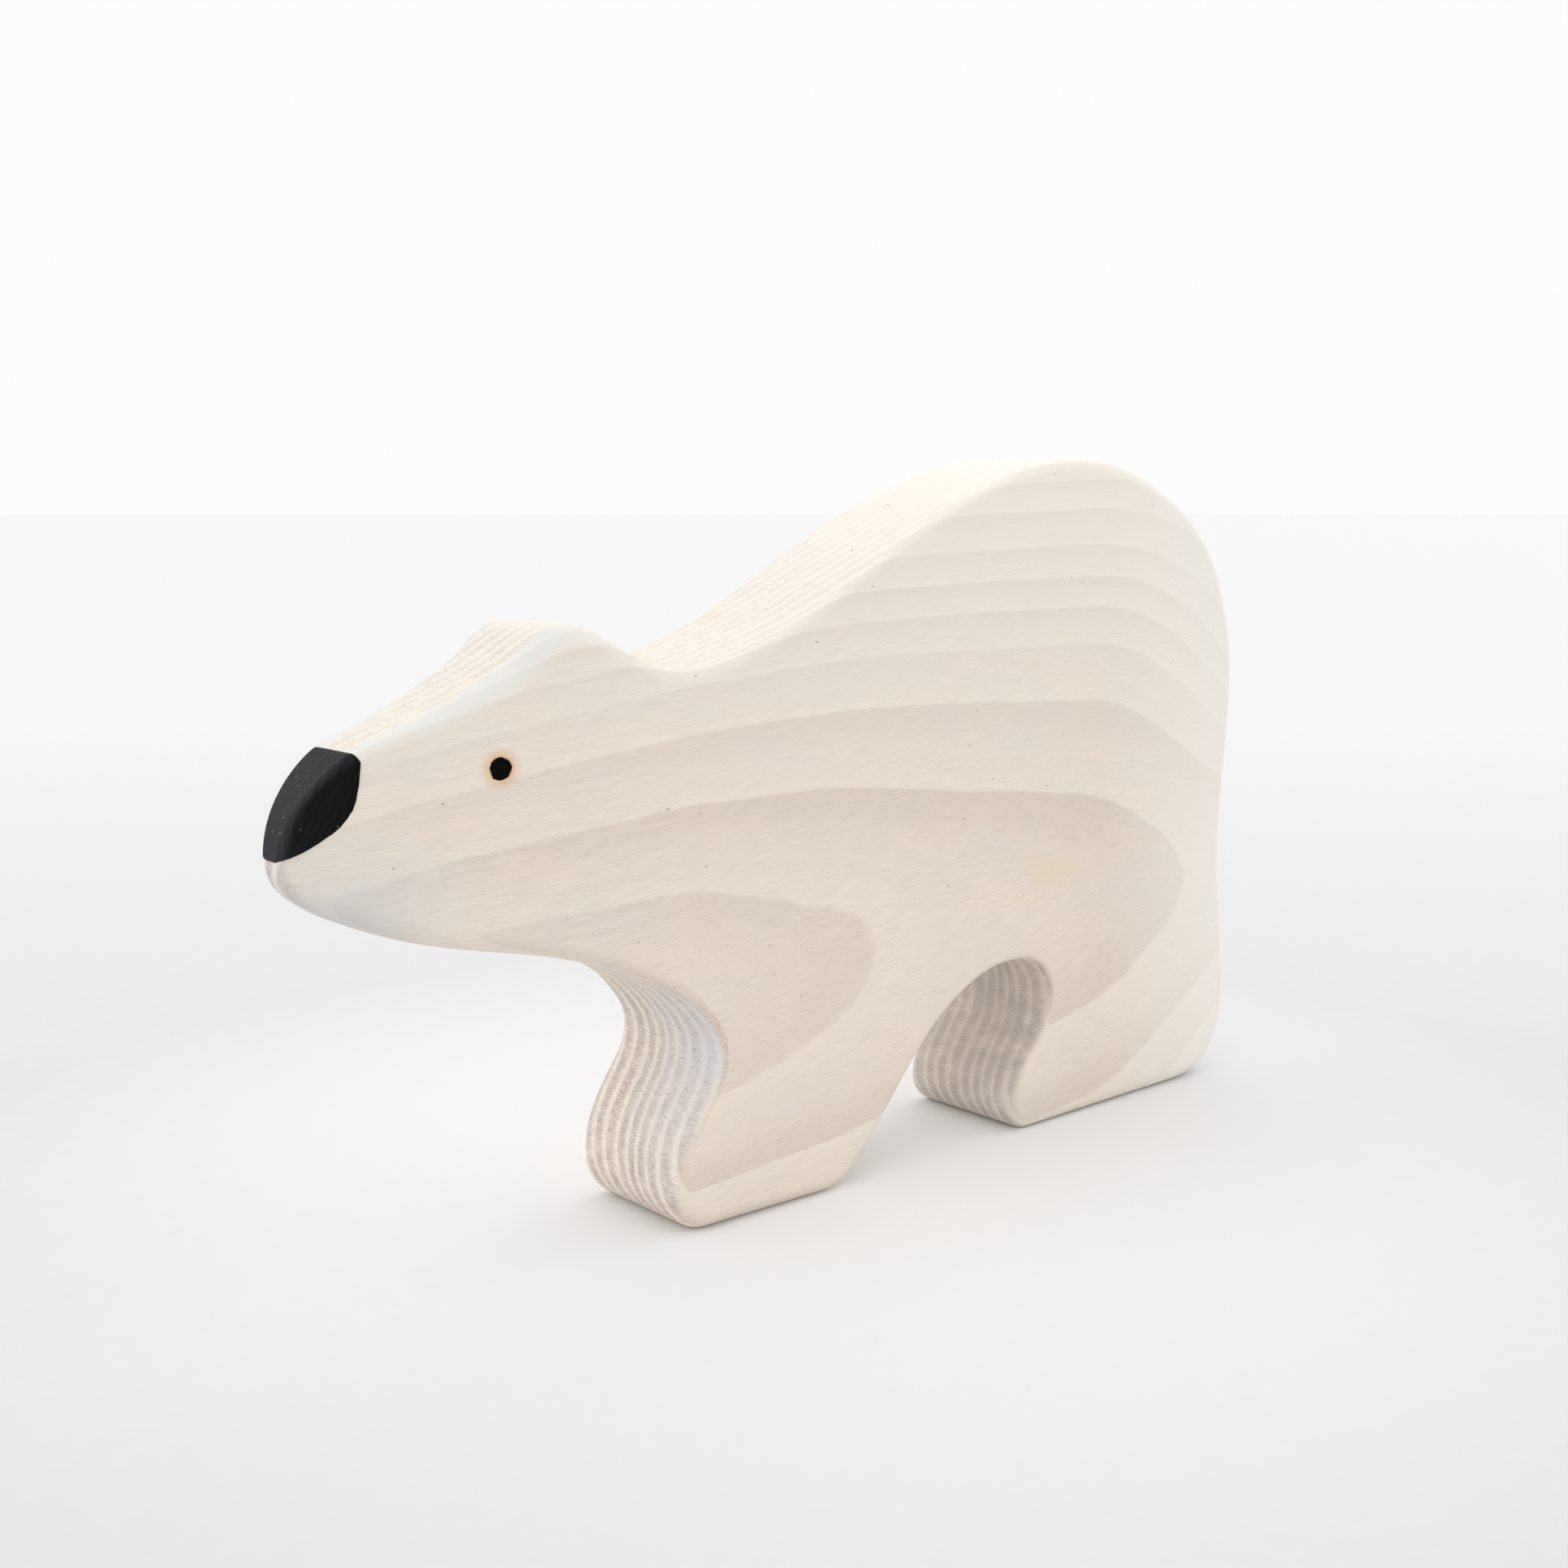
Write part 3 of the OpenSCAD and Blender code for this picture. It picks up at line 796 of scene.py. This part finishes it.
# painted sheen: the forward-facing end of the nose is painted grey along the brush strokes, in place
# of the light it reflects
painted_sheen = add(tree, "MapRange", {"Value": facing.outputs["X"], "From Min": -0.25,
                               "From Max": -0.85, "To Min": 0.0, "To Max": 1.0})
strokes = add(tree, "Mapping", {"Vector": place, "Rotation": (0, math.radians(-60), 0),
                                "Scale": (2.5 * MM, 0.3 * MM, 0.3 * MM)}, vector_type="TEXTURE")
strokes = add(tree, "TexNoise", {"Vector": strokes.outputs[0], "Scale": 1.0, "Detail": 3.0})
sheen_streaks = add(tree, "MapRange", {"Value": strokes.outputs[0], "From Min": 0.3, "From Max": 0.7,
                                 "To Min": 0.6, "To Max": 1.5})
painted_sheen = add(tree, "Math", {0: painted_sheen.outputs[0], 1: sheen_streaks.outputs[0]}, operation="MULTIPLY")
tone = add(tree, "Mix", {0: painted_sheen.outputs[0], 6: tone.outputs[2], 7: linear("#2E2F32")},
           data_type="RGBA")
dust = add(tree, "TexVoronoi", {"Vector": place, "Scale": 1 / (0.7 * MM)})
chosen = add(tree, "SeparateColor", {0: dust.outputs["Color"]})
few = add(tree, "Math", {0: chosen.outputs[0], 1: 0.2}, operation="LESS_THAN")
core = add(tree, "MapRange", {"Value": dust.outputs["Distance"], "From Min": 0.05,
                              "From Max": 0.2, "To Min": 0.45, "To Max": 0.0})
speck = add(tree, "Math", {0: few.outputs[0], 1: core.outputs[0]}, operation="MULTIPLY")
tone = add(tree, "Mix", {0: speck.outputs[0], 6: tone.outputs[2], 7: linear("#B0B0B0")},
           data_type="RGBA")
relief = add(tree, "Bump", {"Strength": 0.7, "Distance": 0.12 * MM, "Height": grit.outputs[0]})
shader = add(tree, "BsdfPrincipled", {"Base Color": tone.outputs[2], "Roughness": 0.55,
                                      "IOR": 1.5, "Specular IOR Level": 0.11,
                                      "Normal": relief.outputs[0]})
add(tree, "OutputMaterial", {"Surface": shader.outputs[0]})
nose.data.materials.append(paint)
print(paint.name, "has", len(tree.nodes), "nodes")

# %% [markdown]
# Char. Where the hot point went in, the wood is burnt to a crust that swallows light: almost
# black, with hardly any gloss, and rough like cinder at a few tenths of a millimetre.

# %% Charred wood
char, tree = new_material("wood_charred_black")
place = add(tree, "TexCoord").outputs["Object"]
crust = add(tree, "TexNoise", {"Vector": place, "Scale": 1 / (0.4 * MM), "Detail": 4.0})
tone = add(tree, "Mix", {0: crust.outputs[0], 6: linear("#020201"), 7: linear("#0E0A07")},
           data_type="RGBA")
relief = add(tree, "Bump", {"Strength": 0.6, "Distance": 0.08 * MM, "Height": crust.outputs[0]})
shader = add(tree, "BsdfPrincipled", {"Base Color": tone.outputs[2], "Roughness": 0.9,
                                      "IOR": 1.5, "Specular IOR Level": 0.1,
                                      "Normal": relief.outputs[0]})
add(tree, "OutputMaterial", {"Surface": shader.outputs[0]})
for piece in (bpy.data.objects["eye_char_left"], bpy.data.objects["eye_char_right"]):
    piece.data.materials.append(char)
print(char.name, "has", len(tree.nodes), "nodes")

# %% [markdown]
# The studio: a pale floor lit by an even white sky, with painted light on it: painted paler round
# the bear, to lighten the shadows there, and painted lighter far off and behind, darker towards
# the camera, in place of the fall of the light.
# A curved paper sweep would do too, but a large flat floor of nearly the sky's own tone hides its
# far edge, and the shadows stay short and soft.

# %% Floor
FLOOR_REACH = 60.0
floor_mesh = bpy.data.meshes.new("floor")
floor_mesh.from_pydata([(-FLOOR_REACH, -FLOOR_REACH, 0), (FLOOR_REACH, -FLOOR_REACH, 0),
                        (FLOOR_REACH, FLOOR_REACH, 0), (-FLOOR_REACH, FLOOR_REACH, 0)],
                       [], [(0, 1, 2, 3)])
floor = bpy.data.objects.new("floor", floor_mesh)
bpy.context.scene.collection.objects.link(floor)
card, tree = new_material("white_card_floor")
place = add(tree, "TexCoord").outputs["Object"]
# painted light: the floor is painted lighter far off and behind the bear and darker towards the
# camera, standing in for the fall of the light
depth = add(tree, "VectorMath", {0: place, 1: (0.66, 0.75, 0)}, operation="DOT_PRODUCT")
back = add(tree, "MapRange", {"Value": depth.outputs["Value"], "From Min": -0.1,
                              "From Max": 0.5})
apart = add(tree, "VectorMath", {0: place}, operation="LENGTH")
far = add(tree, "MapRange", {"Value": apart.outputs["Value"], "From Min": 0.3, "From Max": 0.8})
back = add(tree, "Math", {0: back.outputs[0], 1: far.outputs[0]}, operation="MAXIMUM")
mottle = add(tree, "TexNoise", {"Vector": place, "Scale": 1 / (3 * MM), "Detail": 4.0})
front_tone = add(tree, "Mix", {0: mottle.outputs[0], 6: linear("#D3D4D6"), 7: linear("#D8D8D9")},
                 data_type="RGBA")
tone = add(tree, "Mix", {0: back.outputs[0], 6: front_tone.outputs[2], 7: linear("#E3E3E3")},
           data_type="RGBA")
# painted light: the floor is painted paler round the bear, which lightens the shadows at its feet
around = add(tree, "Mapping", {"Vector": place, "Scale": (0.12, 0.12, 0.12)},
             vector_type="TEXTURE")
pool = add(tree, "TexGradient", {"Vector": around.outputs[0]}, gradient_type="SPHERICAL")
tone = add(tree, "Mix", {0: pool.outputs["Fac"], 6: tone.outputs[2], 7: linear("#F3F3F3")},
           data_type="RGBA")
shader = add(tree, "BsdfPrincipled", {"Base Color": tone.outputs[2], "Roughness": 0.9,
                                      "Specular IOR Level": 0.1})
add(tree, "OutputMaterial", {"Surface": shader.outputs[0]})
floor.data.materials.append(card)
print(card.name, "reaches", FLOOR_REACH, "m each way")

# %% [markdown]
# A sky can be an image of a studio, but soft light from all round needs only a few ramps over
# its direction: brighter overhead, brighter behind, and brighter at both ends of the bear, so
# that the ends it turns away still read pale. What the camera sees of it is one even white.

# %% Sky
world = bpy.data.worlds.new("studio")
bpy.context.scene.world = world
world.use_nodes = True
tree = world.node_tree
tree.nodes.clear()
look = add(tree, "TexCoord").outputs["Generated"]
split = add(tree, "SeparateXYZ", {0: look})
overhead = add(tree, "MapRange", {"Value": split.outputs["Z"], "From Min": 0.0, "From Max": 0.9,
                                  "To Min": 0.64, "To Max": 0.82},
               interpolation_type="SMOOTHSTEP")
behind = add(tree, "MapRange", {"Value": split.outputs["Y"], "From Min": -0.6, "From Max": 0.8,
                                "To Min": 0.0, "To Max": 0.22})
headward = add(tree, "MapRange", {"Value": split.outputs["X"], "From Min": 0.2, "From Max": -0.9,
                                  "To Min": 0.0, "To Max": 0.55})
rumpward = add(tree, "MapRange", {"Value": split.outputs["X"], "From Min": 0.0, "From Max": 0.9,
                                  "To Min": 0.0, "To Max": 0.7})
total = add(tree, "Math", {0: overhead.outputs[0], 1: behind.outputs[0]}, operation="ADD")
total = add(tree, "Math", {0: total.outputs[0], 1: rumpward.outputs[0]}, operation="ADD")
total = add(tree, "Math", {0: total.outputs[0], 1: headward.outputs[0]}, operation="ADD")
seen = add(tree, "LightPath").outputs["Is Camera Ray"]
strength = add(tree, "Mix", {0: seen, 2: total.outputs[0], 3: 0.975}, data_type="FLOAT")
sky = add(tree, "Background", {"Color": (1, 1, 1, 1), "Strength": strength.outputs[0]})
add(tree, "OutputWorld", {"Surface": sky.outputs[0]})
bpy.context.scene.view_settings.view_transform = "Standard"
print("sky:", len(tree.nodes), "nodes")

# %% [markdown]
# The camera stands close to the snout, a little below the height of the back, and looks slightly
# down along the near side. A lens of about 43 mm keeps the head large and the rump smaller.

# %% Camera
camera = bpy.data.objects.new("camera", bpy.data.cameras.new("camera"))
LENS = 42.86
LOOK_DOWN = 8.28
LOOK_ROUND = 41.13
camera.data.lens = LENS
camera.data.sensor_width = 36.0
camera.location = Vector((-155.98, -172.02, 82.97)) * MM
camera.rotation_euler = (math.radians(90 - LOOK_DOWN), 0, -math.radians(LOOK_ROUND))
camera.data.clip_start = 0.01
bpy.context.scene.collection.objects.link(camera)
bpy.context.scene.camera = camera
print("lens", LENS, "mm, looking down", LOOK_DOWN, "degrees")
